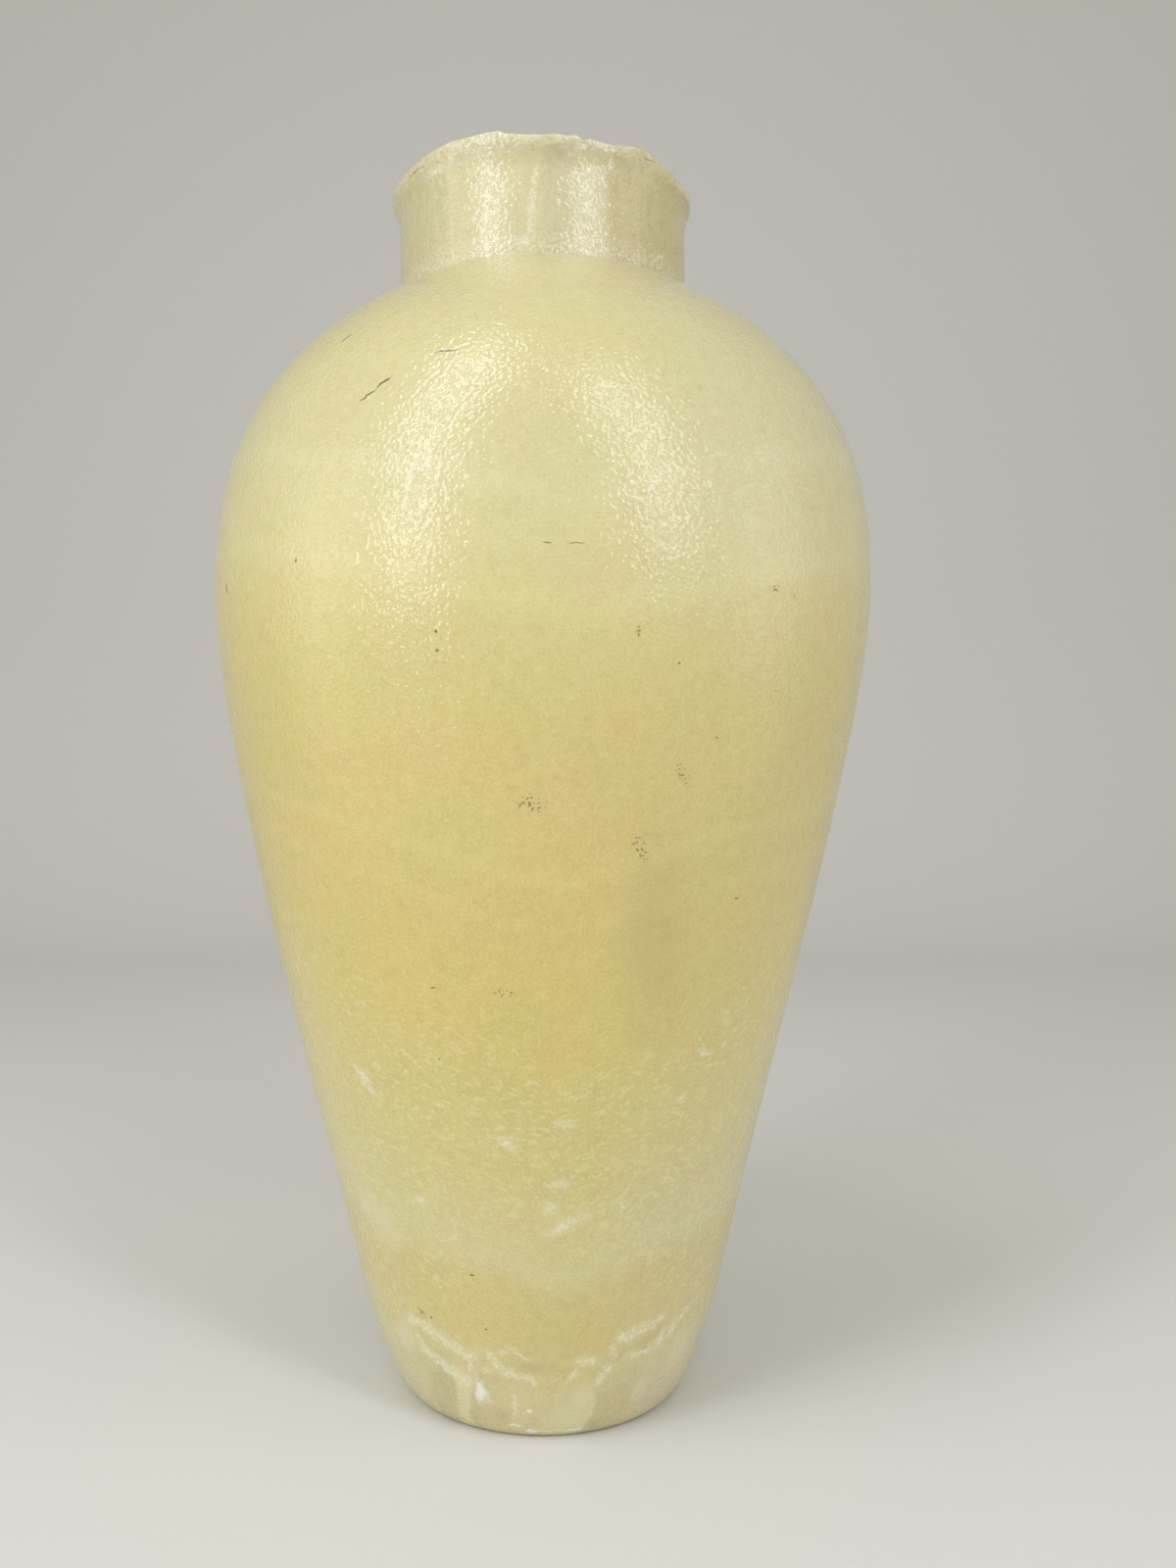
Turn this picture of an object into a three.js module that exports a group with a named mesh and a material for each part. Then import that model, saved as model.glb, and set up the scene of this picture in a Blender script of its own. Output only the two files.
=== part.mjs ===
// A tall stone vase with a high shoulder, a short collar neck and a small flat foot, turned and
// drilled by hand from one block of banded calcite. Its lip is worn and chipped all the way round.
// Millimetres, +Z up. The origin is the centre of the flat underside, and the front faces -Y.
import * as THREE from "three";
import { mergeVertices } from "three/addons/utils/BufferGeometryUtils.js";

const degrees = THREE.MathUtils.degToRad;

// Outside of the body, from the foot up
const footFlatRadius = 45.5; // the flat that it stands on
const heelRadius = 64.6; // where the rounded heel runs into the flank
const heelHeight = 43.8;
const flankLean = degrees(13); // the flank's lean from the vertical, just above the heel
const flankHeight = 232.9; // from the heel up to the widest ring
const bellyRadius = 114.3;
const shoulderRise = 103.9; // from the widest ring up to the neck's crease
const shoulderSlope = degrees(27.5); // fall of the shoulder away from the crease

// Neck and lip
const neckRadius = 50.7;
const neckHeight = 39.4; // from the crease to the top of the unworn lip
const lipProud = 2.4; // how far the lip stands out of the neck
const lipBand = 6.5; // height of the lip's upright edge
const lipFlare = 10.5; // height over which the neck opens out to the lip
const lipRound = 1.2; // rounding of the lip's two top edges

// Walls
const bodyWall = 14;
const shoulderWall = 12.5; // measured straight down from the crease
const neckWall = 9.2;
const floorThickness = 26;
const floorDish = 17.8; // how much higher the floor is at the wall than in the middle

// Fullness of the curves: length of each curve's handles, as a share of the stretch it crosses
const heelFullness = { out: 0.24, up: 0.62 };
const flankFullness = { low: 0.255, high: 0.2 };
const shoulderFullness = { low: 0.41, high: 0.943 };
const flareFullness = { low: 0.55, high: 0.3 };

// The maker's hand: the body's axis wanders sideways, and each ring is slightly oval
const wanderReach = 0.7;
const wanderPitch = 400; // height of one full swing
const wanderStill = 235; // height at which the swing crosses the axis
const ovalShare = 0.0035; // share of the radius
const ovalBearing = degrees(35);

// Worn and broken stretches of the lip. A bearing turns from the front towards +X.
const lipWear = [
  { bearing: -85, halfWidth: 56, depth: 2.6, flatness: 1 },
  { bearing: -1, halfWidth: 14, depth: 2.05, flatness: 2 },
  { bearing: 24, halfWidth: 20, depth: 2.9, flatness: 1 },
  { bearing: 72, halfWidth: 42, depth: 4.9, flatness: 1 },
  { bearing: 146, halfWidth: 24, depth: 3.2, flatness: 2 },
  { bearing: 203, halfWidth: 30, depth: 2.2, flatness: 1 },
];
const wearReach = 17; // how far below the lip's top the wear is still felt

// Fineness
const segments = 72;
const heelSteps = 6;
const flankSteps = 10;
const shoulderSteps = 13;
const flareSteps = 4;
const innerShoulderSteps = 8;
const innerFlankSteps = 7;
const floorSteps = 5;
const weldReach = 1e-3; // vertices closer than this are one

// Places that follow from the sizes
const bellyHeight = heelHeight + flankHeight;
const creaseHeight = bellyHeight + shoulderRise;
const topHeight = creaseHeight + neckHeight;
const lipRadius = neckRadius + lipProud;
const boreRadius = neckRadius - neckWall;

const point = (radius, height) => new THREE.Vector2(radius, height);

/** A curve from a to b whose handles leave a along the angle leaveA and reach b along leaveB. */
function bend(a, leaveA, handleA, b, leaveB, handleB) {
  const from = a.clone().add(point(Math.cos(leaveA), Math.sin(leaveA)).multiplyScalar(handleA));
  const to = b.clone().sub(point(Math.cos(leaveB), Math.sin(leaveB)).multiplyScalar(handleB));
  return new THREE.CubicBezierCurve(a, from, to, b);
}

const upright = Math.PI / 2;

/** The rounded heel, from the edge of the flat foot up to the flank. */
function heelCurve() {
  const width = heelRadius - footFlatRadius;
  const handles = [width * heelFullness.out, heelHeight * heelFullness.up];
  const edge = point(footFlatRadius, 0);
  return bend(edge, 0, handles[0], point(heelRadius, heelHeight), upright - flankLean, handles[1]);
}

/** The flank, from the heel up to the widest ring, set in from the outside by a wall. */
function flankCurve(wall) {
  const low = flankHeight * flankFullness.low;
  const high = flankHeight * flankFullness.high;
  const heel = point(heelRadius - wall, heelHeight);
  return bend(heel, upright - flankLean, low, point(bellyRadius - wall, bellyHeight), upright, high);
}

/** The shoulder, from the widest ring over to the neck. */
function shoulderCurve(bellyEnd, neckEnd) {
  const low = (neckEnd.y - bellyEnd.y) * shoulderFullness.low;
  const high = (bellyEnd.x - neckEnd.x) * shoulderFullness.high;
  return bend(bellyEnd, upright, low, neckEnd, Math.PI - shoulderSlope, high);
}

/** Outside of the neck above the crease: a straight collar that opens out to the lip's upright edge. */
function collarPoints() {
  const bandFoot = point(lipRadius, topHeight - lipBand);
  const flareFoot = point(neckRadius, bandFoot.y - lipFlare);
  const low = lipFlare * flareFullness.low;
  const high = lipFlare * flareFullness.high;
  const flare = bend(flareFoot, upright, low, bandFoot, upright, high);
  return [
    ...flare.getPoints(flareSteps),
    point(lipRadius, topHeight - lipRound),
    point(lipRadius - lipRound, topHeight),
  ];
}

/** The mouth's edge and the straight drilled bore down to the hollow. */
function borePoints() {
  return [
    point(boreRadius + lipRound, topHeight),
    point(boreRadius, topHeight - lipRound),
    point(boreRadius, topHeight - wearReach),
  ];
}

/** The dished floor, from the flank in to the axis. */
function floorPoints() {
  const reach = heelRadius - bodyWall;
  return Array.from({ length: floorSteps }, (_, i) => {
    const turn = (upright * (floorSteps - 1 - i)) / floorSteps;
    return point(reach * Math.sin(turn), floorThickness + floorDish * (1 - Math.cos(turn)));
  });
}

/** The half outline: up the outside, over the lip, down the inside to the middle of the floor. */
function outline() {
  const crease = point(neckRadius, creaseHeight);
  const innerBelly = point(bellyRadius - bodyWall, bellyHeight);
  const innerCrease = point(boreRadius, creaseHeight - shoulderWall);
  const innerShoulder = shoulderCurve(innerBelly, innerCrease).getPoints(innerShoulderSteps);
  return [
    point(0, 0),
    ...heelCurve().getPoints(heelSteps),
    ...flankCurve(0).getPoints(flankSteps).slice(1),
    ...shoulderCurve(point(bellyRadius, bellyHeight), crease).getPoints(shoulderSteps).slice(1),
    ...collarPoints(),
    ...borePoints(),
    ...innerShoulder.reverse(),
    ...flankCurve(bodyWall).getPoints(innerFlankSteps).reverse().slice(1),
    ...floorPoints(),
  ];
}

/** How far the lip has worn down at a bearing, in degrees from the front. */
function wornBy(bearing) {
  return lipWear.reduce((sum, wear) => {
    const off = Math.abs(((bearing - wear.bearing + 540) % 360) - 180) / wear.halfWidth;
    return off < 1 ? sum + wear.depth * (1 - off ** (2 * wear.flatness)) ** 2 : sum;
  }, 0);
}

/** Sideways place of the body's axis at a height, nil at the widest ring. */
function wander(height) {
  const swing = (at) => Math.sin((2 * Math.PI * (at - wanderStill)) / wanderPitch);
  return wanderReach * (swing(height) - swing(bellyHeight));
}

/** Gives the turned form its wear and its maker's hand, one vertex at a time. */
function work(geometry) {
  const place = geometry.getAttribute("position");
  const vertex = new THREE.Vector3();
  for (let i = 0; i < place.count; i += 1) {
    vertex.fromBufferAttribute(place, i);
    const bearing = Math.atan2(vertex.x, -vertex.y);
    const felt = THREE.MathUtils.smoothstep(vertex.z, topHeight - wearReach, topHeight);
    const oval = 1 + ovalShare * Math.cos(2 * (bearing - ovalBearing));
    vertex.x = vertex.x * oval + wander(vertex.z);
    vertex.y *= oval;
    vertex.z -= felt * wornBy(THREE.MathUtils.radToDeg(bearing));
    place.setXYZ(i, vertex.x, vertex.y, vertex.z);
  }
}

/** The vase as one closed solid: its outline turned about the axis, then worked. */
function vaseGeometry() {
  const turned = new THREE.LatheGeometry(outline(), segments).rotateX(Math.PI / 2);
  turned.deleteAttribute("normal");
  turned.deleteAttribute("uv");
  const closed = mergeVertices(turned, weldReach);
  work(closed);
  closed.computeVertexNormals();
  return closed;
}

const calcite = new THREE.MeshStandardMaterial({ color: 0xd6c98a, roughness: 0.45, metalness: 0 });

const vase = new THREE.Mesh(vaseGeometry(), calcite);
vase.name = "vase";

const group = new THREE.Group();
group.name = "ancient_vase";
group.add(vase);

export default group;
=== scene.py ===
"""The looks of a tall vase carved from one block of banded calcite, in metres, with +Z up."""
import math

import bmesh
import bpy
from mathutils import Euler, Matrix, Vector, noise
from mathutils.geometry import interpolate_bezier


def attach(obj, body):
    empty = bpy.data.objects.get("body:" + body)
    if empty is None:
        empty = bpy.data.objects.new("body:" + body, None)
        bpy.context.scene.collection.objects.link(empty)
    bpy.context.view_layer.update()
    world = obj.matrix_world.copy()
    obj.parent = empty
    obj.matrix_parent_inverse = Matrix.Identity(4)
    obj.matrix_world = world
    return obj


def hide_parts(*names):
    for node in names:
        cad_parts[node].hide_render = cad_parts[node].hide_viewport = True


bl_info = {
    "name": "Banded Calcite Vase",
    "version": (1, 0, 0),
    "blender": (4, 5, 0),
    "location": "3D View > Sidebar > Vase",
    "description": "Carves a worn vase of banded calcite and sets it in a plain studio",
    "category": "Add Mesh",
}

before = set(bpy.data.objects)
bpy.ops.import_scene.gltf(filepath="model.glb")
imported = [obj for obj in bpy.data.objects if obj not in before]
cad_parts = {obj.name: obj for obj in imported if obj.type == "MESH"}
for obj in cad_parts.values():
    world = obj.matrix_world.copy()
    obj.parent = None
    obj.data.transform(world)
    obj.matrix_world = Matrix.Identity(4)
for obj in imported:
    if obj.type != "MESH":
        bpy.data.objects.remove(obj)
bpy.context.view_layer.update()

MM = 0.001
UPRIGHT = math.pi / 2
FRONT_SEAM = 2.6 * MM  # where the two sets of beds meet, to the right of the middle
BED_DIP = 0.25  # how far a bed climbs for each millimetre away from the seam


# Sizes and colours that a user would change


def length(name, description, default):
    """A size in metres, shown in the scene's units."""
    return bpy.props.FloatProperty(
        name=name, description=description, default=default, min=0, unit="LENGTH", subtype="DISTANCE"
    )


def angle(name, description, degrees):
    """An angle, kept in radians."""
    return bpy.props.FloatProperty(
        name=name, description=description, default=math.radians(degrees), unit="ROTATION", subtype="ANGLE"
    )


def share(name, description, default):
    """A plain ratio."""
    return bpy.props.FloatProperty(name=name, description=description, default=default, min=0)


def colour(name, description, default):
    """A linear colour."""
    return bpy.props.FloatVectorProperty(
        name=name, description=description, default=default, size=3, min=0, max=1, subtype="COLOR"
    )


class VaseSizes(bpy.types.PropertyGroup):
    """Sizes of the turned form."""

    foot_flat: length("Foot", "Radius of the flat that it stands on", 0.0455)
    heel: length("Heel", "Radius where the rounded heel runs into the flank", 0.0646)
    heel_height: length("Heel height", "Height of the rounded heel", 0.0438)
    flank_lean: angle("Flank lean", "Lean of the flank just above the heel", 13)
    flank_height: length("Flank height", "From the heel up to the widest ring", 0.2329)
    belly: length("Belly", "Radius of the widest ring", 0.1143)
    shoulder_rise: length("Shoulder rise", "From the widest ring up to the neck's crease", 0.1039)
    shoulder_slope: angle("Shoulder slope", "Fall of the shoulder away from the crease", 27.5)
    neck: length("Neck", "Radius of the neck", 0.0507)
    neck_height: length("Neck height", "From the crease to the top of the unworn lip", 0.0394)
    lip_proud: length("Lip proud", "How far the lip stands out of the neck", 0.0024)
    lip_band: length("Lip band", "Height of the lip's upright edge", 0.0065)
    lip_flare: length("Lip flare", "Height over which the neck opens out to the lip", 0.0105)
    lip_round: length("Lip rounding", "Radius that the lip's outer edge has worn to", 0.0012)
    body_wall: length("Body wall", "Thickness of the wall at the belly", 0.014)
    shoulder_wall: length("Shoulder wall", "Thickness straight down from the crease", 0.0125)
    neck_wall: length("Neck wall", "Thickness of the neck", 0.0092)
    floor: length("Floor", "Thickness of the floor in the middle", 0.026)
    floor_dish: length("Floor dish", "How much higher the floor is at the wall", 0.0178)


class StoneColours(bpy.types.PropertyGroup):
    """Colours of the calcite."""

    honey: colour("Honey", "The deep yellow of the lower body", (0.715, 0.59, 0.22))
    straw: colour("Straw", "The pale yellow of the shoulder", (0.71, 0.65, 0.33))
    cloud: colour("Cloud", "The grey-white of the neck and the foot", (0.68, 0.63, 0.37))
    milk: colour("Milk", "Veins, flecks and bruises", (0.86, 0.83, 0.62))
    # Tan also paints the shade just below the neck's crease.
    tan: colour("Tan", "Brown stains in the stone", (0.50, 0.40, 0.20))
    soil: colour("Soil", "Earth left in pits and cracks", (0.10, 0.08, 0.035))
    polish: share("Polish", "Roughness of the rubbed surface", 0.11)


class StudioSettings(bpy.types.PropertyGroup):
    """The photograph's viewing angle and its light."""

    distance: length("Distance", "From the camera to the vase's axis", 0.471)
    eye: length("Eye height", "Height of the camera above the floor", 0.2107)
    lens: share("Lens", "Focal length in millimetres on a 36 mm sensor", 30.15)
    shift: share("Shift", "Sideways shift of the picture, as a share of its height", 0.029)
    paper: colour("Paper", "The floor and the backdrop", (0.78, 0.78, 0.76))


# The turned form

# Fullness of the curves: length of each curve's handles, as a share of the stretch that it crosses
HEEL_FULLNESS = (0.24, 0.62)
FLANK_FULLNESS = (0.255, 0.2)
SHOULDER_FULLNESS = (0.41, 0.943)
FLARE_FULLNESS = (0.55, 0.3)
ROUND_FULLNESS = 0.55
BORE_ROUNDING = 1.6 * MM  # of the lip's inner edge

# Fineness: rings of the underside as shares of the foot, steps along each curve and around the axis
UNDER_RINGS = [0, 0.25, 0.5, 0.75, 0.9, 0.97, 0.992]
HEEL_STEPS = 34
FLANK_STEPS = 92
SHOULDER_STEPS = 62
NECK_STEPS = 14
FLARE_STEPS = 12
LIP_STEPS = 5
BORE_STEPS = 26
INNER_SHOULDER_STEPS = 26
INNER_FLANK_STEPS = 30
FLOOR_STEPS = 10
TURN_STEPS = 272


def bend(start, leave, start_handle, end, reach, end_handle, steps):
    """Points of a curve that leaves start along one angle and reaches end along another."""
    away = Vector((math.cos(leave), math.sin(leave), 0)) * start_handle
    into = Vector((math.cos(reach), math.sin(reach), 0)) * end_handle
    return interpolate_bezier(start, start + away, end - into, end, steps + 1)


def at(radius, height):
    """A point of the half outline."""
    return Vector((radius, height, 0))


class Outline:
    """The vase's half outline, worked out from its sizes."""

    def __init__(self, sizes):
        self.sizes = sizes
        self.belly_height = sizes.heel_height + sizes.flank_height
        self.crease = self.belly_height + sizes.shoulder_rise
        self.top = self.crease + sizes.neck_height
        self.lip = sizes.neck + sizes.lip_proud
        self.bore = sizes.neck - sizes.neck_wall
        self.outside = self.under() + self.body() + self.collar()
        self.inside = self.bore_line() + self.hollow()

    def under(self):
        """The flat underside, from the axis to the edge of the foot."""
        return [at(self.sizes.foot_flat * ring, 0) for ring in UNDER_RINGS]

    def body(self):
        """Heel, flank and shoulder."""
        sizes = self.sizes
        foot, heel = at(sizes.foot_flat, 0), at(sizes.heel, sizes.heel_height)
        width = sizes.heel - sizes.foot_flat
        lean = UPRIGHT - sizes.flank_lean
        crease = at(sizes.neck, self.crease)
        out, up = width * HEEL_FULLNESS[0], sizes.heel_height * HEEL_FULLNESS[1]
        lower = bend(foot, 0, out, heel, lean, up, HEEL_STEPS)
        shoulder = self.shoulder(at(sizes.belly, self.belly_height), crease, SHOULDER_STEPS)
        return lower + self.flank(0, FLANK_STEPS)[1:] + shoulder[1:]

    def flank(self, wall, steps):
        """The flank, set in from the outside by a wall."""
        sizes = self.sizes
        low, high = (sizes.flank_height * fullness for fullness in FLANK_FULLNESS)
        heel, belly = at(sizes.heel - wall, sizes.heel_height), at(sizes.belly - wall, self.belly_height)
        return bend(heel, UPRIGHT - sizes.flank_lean, low, belly, UPRIGHT, high, steps)

    def shoulder(self, belly, neck, steps):
        """The shoulder, from the widest ring over to the neck."""
        low = (neck.y - belly.y) * SHOULDER_FULLNESS[0]
        high = (belly.x - neck.x) * SHOULDER_FULLNESS[1]
        return bend(belly, UPRIGHT, low, neck, math.pi - self.sizes.shoulder_slope, high, steps)

    def collar(self):
        """The neck above the crease, the flare and the lip's rounded edge."""
        sizes = self.sizes
        band = at(self.lip, self.top - sizes.lip_band)
        flare = at(sizes.neck, band.y - sizes.lip_flare)
        shares = [0.01, 0.03, 0.07] + [0.07 + 0.93 * i / NECK_STEPS for i in range(1, NECK_STEPS)]
        straight = [self.crease + (flare.y - self.crease) * share for share in shares]
        low, high = (sizes.lip_flare * fullness for fullness in FLARE_FULLNESS)
        opening = bend(flare, UPRIGHT, low, band, UPRIGHT, high, FLARE_STEPS)
        edge, crown = at(self.lip, self.top - sizes.lip_round), at(self.lip - sizes.lip_round, self.top)
        handle = sizes.lip_round * ROUND_FULLNESS
        rounding = bend(edge, UPRIGHT, handle, crown, math.pi, handle, 6)
        band_rings = [band.lerp(edge, i / LIP_STEPS) for i in range(1, LIP_STEPS)]
        return [at(sizes.neck, height) for height in straight] + opening + band_rings + rounding

    def bore_line(self):
        """The lip's top, its inner edge and the drilled bore."""
        crown = at(self.bore + BORE_ROUNDING, self.top)
        edge = at(self.bore, self.top - BORE_ROUNDING)
        outer = at(self.lip - self.sizes.lip_round, self.top)
        flat = [outer.lerp(crown, i / LIP_STEPS) for i in range(1, LIP_STEPS)]
        handle = BORE_ROUNDING * ROUND_FULLNESS
        turn = bend(crown, math.pi, handle, edge, -UPRIGHT, handle, 4)
        fall = (self.crease - self.sizes.shoulder_wall - edge.y) / BORE_STEPS
        return flat + turn + [at(self.bore, edge.y + fall * i) for i in range(1, BORE_STEPS)]

    def hollow(self):
        """The drilled-out hollow, from the neck down to the middle of its dished floor."""
        sizes = self.sizes
        belly = at(sizes.belly - sizes.body_wall, self.belly_height)
        crease = at(self.bore, self.crease - sizes.shoulder_wall)
        shoulder = self.shoulder(belly, crease, INNER_SHOULDER_STEPS)
        reach = sizes.heel - sizes.body_wall
        turns = [UPRIGHT * i / FLOOR_STEPS for i in reversed(range(FLOOR_STEPS))]
        dish = [at(reach * math.sin(t), sizes.floor + sizes.floor_dish * (1 - math.cos(t))) for t in turns]
        return shoulder[::-1] + self.flank(sizes.body_wall, INNER_FLANK_STEPS)[::-1][1:] + dish

    def radius(self, height):
        """Outside radius of the body or the neck at a height."""
        line = [p for p in self.outside if p.x > self.sizes.foot_flat * 0.99]
        for low, high in zip(line, line[1:]):
            if low.y <= height <= high.y:
                return low.x + (high.x - low.x) * (height - low.y) / max(high.y - low.y, 1e-9)
        return self.lip


# Wear and the maker's hand

# Worn stretches of the lip: bearing and half width in degrees, depth, and how square the dip is.
# A bearing turns from the front towards +X.
LIP_WEAR = [
    (-85, 56, 2.6 * MM, 1),
    (-1, 14, 2.05 * MM, 2),
    (24, 20, 2.9 * MM, 1),
    (72, 42, 4.9 * MM, 1),
    (146, 24, 3.2 * MM, 2),
    (203, 30, 2.2 * MM, 1),
]
# Small chips in the lip
LIP_CHIPS = [
    (-12.8, 2.6, 0.5 * MM, 1),
    (14.6, 2.4, 1.6 * MM, 1),
    (9.6, 4.2, 0.5 * MM, 1),
    (47.5, 4.5, 0.5 * MM, 1),
    (58.5, 4.0, 0.45 * MM, 1),
    (-52, 5.0, 0.4 * MM, 1),
    (101, 4.0, 0.9 * MM, 1),
    (128, 3.0, 0.8 * MM, 1),
    (-112, 4.0, 1.0 * MM, 1),
    (-150, 6.0, 0.8 * MM, 2),
]
# How far below the lip's top each kind of wear is still felt
WEAR_REACH = 11 * MM
BUMP_REACH = 5.5 * MM
CHIP_REACH = 3.2 * MM

# Height of the small unevenness of the lip, the outside, the hollow and the foot's edge
LIP_ROUGH = 0.22 * MM
LIP_BUMPS = 0.3 * MM
BROAD_WAVES = 0.16 * MM
SMALL_WAVES = 0.05 * MM
INNER_WAVES = 0.2 * MM
FOOT_NICKS = 0.25 * MM
GROOVE_DEPTH = 0.16 * MM
GROOVE_PITCH = 4.6 * MM

# The neck opens out to the lip from this far below the top, and from further down on the right
FLARE_FALL = 12.5 * MM
FLARE_DRAWN_OUT = 3.0 * MM

# The body's axis wanders sideways, and each ring is slightly oval
WANDER_REACH = 0.7 * MM
WANDER_PITCH = 400 * MM
WANDER_STILL = 235 * MM
OVAL_SHARE = 0.0035
OVAL_BEARING = math.radians(35)


def smooth(value, low, high):
    """A soft step from 0 at low to 1 at high."""
    share = min(max((value - low) / (high - low), 0), 1)
    return share * share * (3 - 2 * share)


def turned_away(bearing, centre):
    """Degrees between two bearings."""
    return abs((bearing - centre + 540) % 360 - 180)


def worn_by(bearing, dips):
    """How far a list of dips has taken the lip down at a bearing."""
    total = 0
    for centre, half_width, depth, square in dips:
        off = turned_away(bearing, centre) / half_width
        if off < 1:
            total += depth * (1 - off ** (2 * square)) ** 2
    return total


def wander(height, belly_height):
    """Sideways place of the body's axis at a height, nil at the widest ring."""

    def swing(level):
        return math.sin(2 * math.pi * (level - WANDER_STILL) / WANDER_PITCH)

    return WANDER_REACH * (swing(height) - swing(belly_height))


def flare(height, bearing, outline):
    """Radius of the neck where it opens out to the lip, more drawn out on the right."""
    right = smooth(bearing, 30, 62) * (1 - smooth(bearing, 100, 120))
    start = outline.top - FLARE_FALL - FLARE_DRAWN_OUT * right
    end = outline.top - 0.5 * MM
    return outline.sizes.neck + outline.sizes.lip_proud * smooth(height, start, end)


def push_outside(place, radius, bearing, outline):
    """How far a point of the outside moves out: the maker's waves, the flare and the lip's bumps."""
    top, height = outline.top, place.z
    waves = noise.noise(place * 22) * BROAD_WAVES
    waves += noise.noise(Vector((place.x * 60, place.y * 60, height * 150))) * SMALL_WAVES
    push = waves * smooth(height, 2 * MM, 20 * MM)
    if top - 20 * MM < height < top - outline.sizes.lip_round * 0.9:
        push += flare(height, bearing, outline) - radius
    bumps = LIP_BUMPS * noise.noise(place * 95)
    return push - bumps * smooth(height, top - BUMP_REACH, top - 0.5 * MM)


def push_inside(place, top):
    """How far a point of the hollow moves out: grooves of the drill and slow waves, gone at the lip."""
    grooves = math.sin(math.tau * place.z / GROOVE_PITCH + 2 * noise.noise(place * 30)) * GROOVE_DEPTH
    push = grooves * smooth(place.z, 50 * MM, 90 * MM) + noise.noise(place * 40) * INNER_WAVES
    return push * (1 - smooth(place.z, top - 4 * MM, top))


def work(mesh, outline):
    """Gives the turned form its wear and its maker's hand, and notes how far each point is from the lip."""
    below_lip = mesh.verts.layers.float.new("below_lip")
    inner = mesh.verts.layers.float["inner"]
    top = outline.top
    worn = {}
    for vert in mesh.verts:
        place = vert.co
        radius, height = math.hypot(place.x, place.y), place.z
        turn = math.atan2(place.x, -place.y)
        bearing = round(math.degrees(turn), 3)
        if bearing not in worn:
            spot = Vector((math.sin(turn), math.cos(turn), 0)) * 9
            rough = LIP_ROUGH * (noise.noise(spot * 1.7) + 0.7 * noise.noise(spot * 5))
            worn[bearing] = (worn_by(bearing, LIP_WEAR), worn_by(bearing, LIP_CHIPS) + rough)
        slow, quick = worn[bearing]
        felt = smooth(height, top - WEAR_REACH, top)
        nipped = smooth(height, top - CHIP_REACH, top)
        vert[below_lip] = (top - height) / MM
        if radius > 1e-6:
            hidden = vert[inner] > 0.5
            push = push_inside(place, top) if hidden else push_outside(place, radius, bearing, outline)
            scale = (radius + push) / radius
            oval = 1 + OVAL_SHARE * math.cos(2 * (turn - OVAL_BEARING))
            place.x *= scale * oval
            place.y *= scale * oval
        place.x += wander(height, outline.belly_height)
        place.z -= felt * slow + nipped * quick
        if 0.5 * MM > height and radius > outline.sizes.foot_flat * 0.9:
            place.z += max(0.0, noise.noise(place * 120)) * FOOT_NICKS


def carve(name, sizes):
    """The vase as one closed mesh: its half outline spun about the axis, then worked."""
    outline = Outline(sizes)
    mesh = bmesh.new()
    inner = mesh.verts.layers.float.new("inner")
    line = [mesh.verts.new((p.x, 0, p.y)) for p in outline.outside + outline.inside]
    for vert in line[len(outline.outside):]:
        vert[inner] = 1
    edges = [mesh.edges.new(pair) for pair in zip(line, line[1:])]
    bmesh.ops.spin(
        mesh,
        geom=line + edges,
        cent=(0, 0, 0),
        axis=(0, 0, 1),
        angle=math.tau,
        steps=TURN_STEPS,
        use_merge=True,
    )
    bmesh.ops.remove_doubles(mesh, verts=mesh.verts, dist=1e-5)
    bmesh.ops.recalc_face_normals(mesh, faces=mesh.faces)
    work(mesh, outline)
    for face in mesh.faces:
        face.smooth = True
    data = bpy.data.meshes.new(name)
    mesh.to_mesh(data)
    mesh.free()
    vase = bpy.data.objects.new(name, data)
    bpy.context.scene.collection.objects.link(vase)
    return vase, outline


# The stone


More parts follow.
